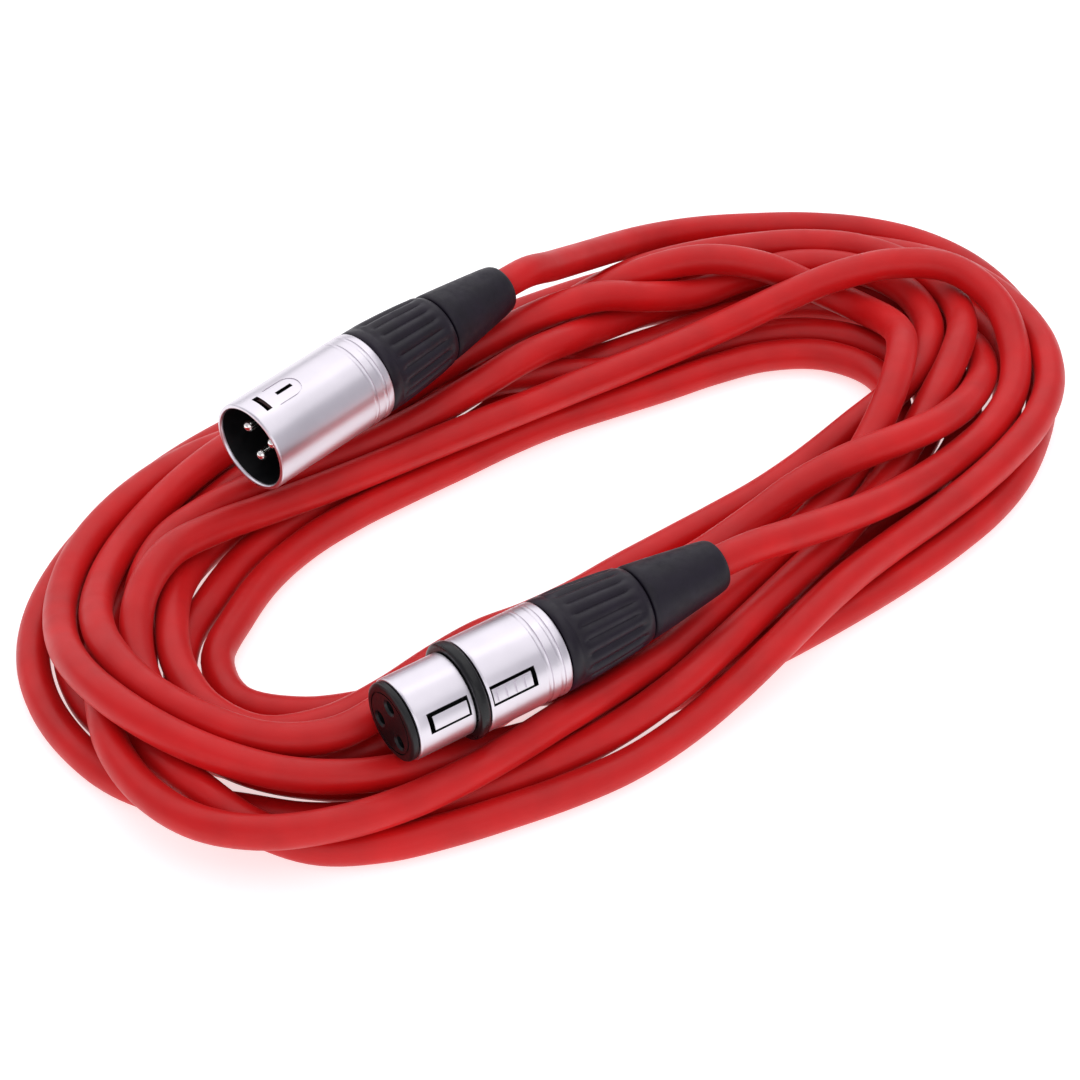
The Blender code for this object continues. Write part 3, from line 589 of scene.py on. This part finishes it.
# ---------------------------------------------------------------- female connector
def build_female_shell(place, mats):
    outer = [(1.5, 7.3), (1.5, 7.75), (1.6, 7.95), (1.8, 8.06), (2.1, NOSE_R), (13.3, NOSE_R),
             (13.3, 7.65), (16.1, 7.65), (16.1, 8.9), (16.2, 9.12), (16.45, 9.25), (16.8, BODY_R)]
    outer += groove_pair(28.6, BODY_R)
    outer += [(33.6, BODY_R), (33.85, 9.2), (FEMALE_SHELL_END, 9.0), (FEMALE_SHELL_END, INNER_R),
              (29.9, INNER_R), (29.9, 7.1), (1.7, 7.1)]
    shell = make_object("fine_female_shell", *turned(outer, 128), place, mats["nickel"])
    cut(shell, [block((-2.0, 2.0), (5.5, 10.0), (3.9, 12.6)),
                block((-2.0, 2.0), (5.5, 11.0), (16.7, 26.4))])
    # Painted shade: the nose's and body's inner walls and the latch slots' walls get the black
    # material, where shade falls on the nickel.
    paint_shade_black(shell, mats["insert"], (7.9, 1.55, 16.15), (8.95, 16.15, 28.0), (7.3, 28.0, 40.0))
    stand_in(shell, "lead", "satin_nickel", "female_shell")


def axle_tool(reach):
    """Rod along the latch's pivot, as long as twice its reach."""
    rod = [(-reach, 0.0), (-reach, AXLE_R), (reach, AXLE_R), (reach, 0.0)]
    verts, faces = turned(rod, 24)
    return [(z, x + LATCH_PIVOT[0], y + LATCH_PIVOT[1]) for x, y, z in verts], faces


def build_latch(place, mats):
    """Lever with the hook in the nose, the push tab in the body, and four plain ribs."""
    bar = make_object("fine_female_latch", *block((-1.35, 1.35), (5.6, 6.5), (4.9, 27.2)), place,
                      mats["nickel"])
    hub = block((-1.7, 1.7), (4.55, 6.55), (27.0, 29.8))
    hook = wrapped_block(1.4, 4.9, 12.2, 5.7, 8.0, NOSE_R)
    tab = wrapped_block(1.5, 17.1, 25.6, 5.7, BODY_R - 0.3, BODY_R)
    cut(bar, [hub, hook, tab], "UNION")
    ribs = [wrapped_block(1.2, z, z + 0.85, BODY_R - 0.8, BODY_R + 0.08, BODY_R)
            for z in (17.9, 19.9, 21.9, 23.9)]
    cut(bar, ribs, "UNION")
    cut(bar, [axle_tool(4.0)])
    # Painted shade: the nickel latch's sides and underside get the black material, so the gaps
    # round it read as dark as shade makes them.
    paint_shade_black(bar, mats["insert"], (7.6, 4.0, 14.0), (8.6, 14.0, 26.5), (7.0, 26.5, 30.0))
    soften(bar, LATCH_EDGE)
    stand_in(bar, "latch", "satin_nickel", "female_latch")


def build_insert(place, mats):
    outer = [(0.0, 0.0), (0.0, 6.9), (0.08, 7.35), (0.3, 7.68), (0.6, INNER_R), (1.2, INNER_R),
             (1.2, 6.8), (29.7, 6.8), (29.7, 0.0)]
    obj = make_object("fine_female_insert", *turned(outer, 96), place, mats["insert"], 40.0)
    tools = [block((-2.8, 2.8), (3.9, 9.0), (4.0, 40.0))]
    tools.append(axle_tool(12.0))
    for x, y in CONTACTS:
        hole = turned([(-2.0, 0.0), (-2.0, 2.05), (0.0, 1.75), (0.4, 1.35), (1.4, 1.35),
                       (1.4, 1.85), (40.0, 1.85), (40.0, 0.0)], 32)
        tools.append(shifted(hole, x, y))
    ring = turned([(-1.0, 5.95), (-1.0, 6.35), (0.25, 6.3), (0.25, 6.0)], 96)
    tools.append(ring)
    cut(obj, tools)
    stand_in(obj, "lead", "insert_black", "female_insert")


def build_collar(place, mats):
    outer = rounded([(13.6, 7.95), (13.6, 9.68, True), (15.8, 9.68, True), (15.8, 7.95)], 0.8, 6)
    obj = make_object("fine_female_collar", *turned(outer, 112), place, mats["collar"], 60.0)
    stand_in(obj, "lead", "collar_black", "female_collar")


def build_female(place, mats):
    build_female_shell(place, mats)
    build_latch(place, mats)
    build_insert(place, mats)
    build_collar(place, mats)
    build_nut("female", place, FEMALE_SHELL_END, mats["nut"])
    build_sleeve("female", place, FEMALE_SHELL_END + NUT_LENGTH, FEMALE_TAIL, mats["sleeve"])


# ---------------------------------------------------------------- inner CAD pieces
def paint(node, material):
    mesh = frame["nodes"][node].data
    mesh.materials.clear()
    mesh.materials.append(material)


def paint_inner_pieces(mats):
    tin = bright_metal("tinned_steel_sheet", (0.62, 0.62, 0.62), 0.34)
    collet = plain_plastic("collet_nylon_grey", (0.12, 0.12, 0.125), 0.5)
    cores = (bright_metal("bare_copper_strands", (0.62, 0.34, 0.17), 0.35),
             plain_plastic("core_pvc_white", (0.78, 0.78, 0.76), 0.42),
             plain_plastic("core_pvc_blue", (0.05, 0.12, 0.48), 0.42))
    paint("male_insert", mats["insert"])
    for node in ("male_earth_washer", "female_earth_washer", "female_latch_pin",
                 "female_latch_spring"):
        paint(node, tin)
    for side in ("male", "female"):
        paint(side + "_collet", collet)
        for k in range(3):
            paint("%s_core_%d" % (side, k + 1), cores[k])
    for k in range(3):
        paint("female_socket_%d" % (k + 1), mats["contact"])


# ---------------------------------------------------------------- studio
def area_light(name, place, size, power):
    """White lamp that points to the middle of the floor."""
    data = bpy.data.lights.new(name, "AREA")
    data.shape = "RECTANGLE"
    data.size, data.size_y = size
    data.energy = power
    obj = bpy.data.objects.new(name, data)
    bpy.context.scene.collection.objects.link(obj)
    obj.location = place
    obj.rotation_euler = (-Vector(place)).to_track_quat("-Z", "Y").to_euler()


def build_studio():
    corners = [(x * FLOOR_HALF, y * FLOOR_HALF, 0.0)
               for x, y in ((-1, -1), (1, -1), (1, 1), (-1, 1))]
    mesh = bpy.data.meshes.new("floor")
    mesh.from_pydata(corners, [], [(0, 1, 2, 3)])
    floor = bpy.data.objects.new("floor", mesh)
    bpy.context.scene.collection.objects.link(floor)
    paper = Shader("white_paper", (0.7, 0.7, 0.7), 0.75)
    paper.body.inputs["Specular IOR Level"].default_value = 0.1
    paper.body.inputs["Emission Color"].default_value = (1.0, 1.0, 1.0, 1.0)
    paper.body.inputs["Emission Strength"].default_value = 0.62
    mesh.materials.append(paper.material)

    world = bpy.data.worlds.new("studio")
    bpy.context.scene.world = world
    world.use_nodes = True
    back = world.node_tree.nodes["Background"]
    back.inputs["Color"].default_value = (0.93, 0.92, 1.0, 1.0)
    back.inputs["Strength"].default_value = 0.58

    area_light("key", (-0.25, 0.75, 0.85), (2.2, 1.4), 8.0)
    area_light("top", (0.35, -0.1, 1.1), (1.2, 1.2), 3.0)
    area_light("front", (0.15, -1.0, 0.45), (1.6, 0.7), 2.5)

    bpy.context.scene.view_settings.view_transform = "Standard"


def build_camera():
    """The camera stands in front of the coil and looks down at it."""
    data = bpy.data.cameras.new("camera")
    data.sensor_width = 36.0
    data.angle = math.radians(CAMERA_FIELD)
    data.clip_start = 0.01
    obj = bpy.data.objects.new("camera", data)
    bpy.context.scene.collection.objects.link(obj)
    tilt = math.radians(CAMERA_TILT)
    back = Vector((0.0, -math.cos(tilt), math.sin(tilt)))
    obj.location = CAMERA_AIM + back * CAMERA_RANGE
    obj.rotation_euler = (math.radians(90.0) - tilt, 0.0, 0.0)
    bpy.context.scene.camera = obj


male = male_axes()
female = female_axes()
materials = {
    "nickel": satin_nickel(),
    "contact": bright_metal("contact_plate_silver", (0.92, 0.91, 0.88), 0.16),
    # The insert's black material, also laid as painted shade on the shells' inner and slot walls
    # and the latch's sides.
    "insert": insert_black(),
    "collar": collar_black(),
    "nut": moulded_black(),
    "sleeve": soft_black(),
}
build_jacket(female, red_jacket())
build_male(male, materials)
build_female(female, materials)
paint_inner_pieces(materials)
build_studio()
build_camera()
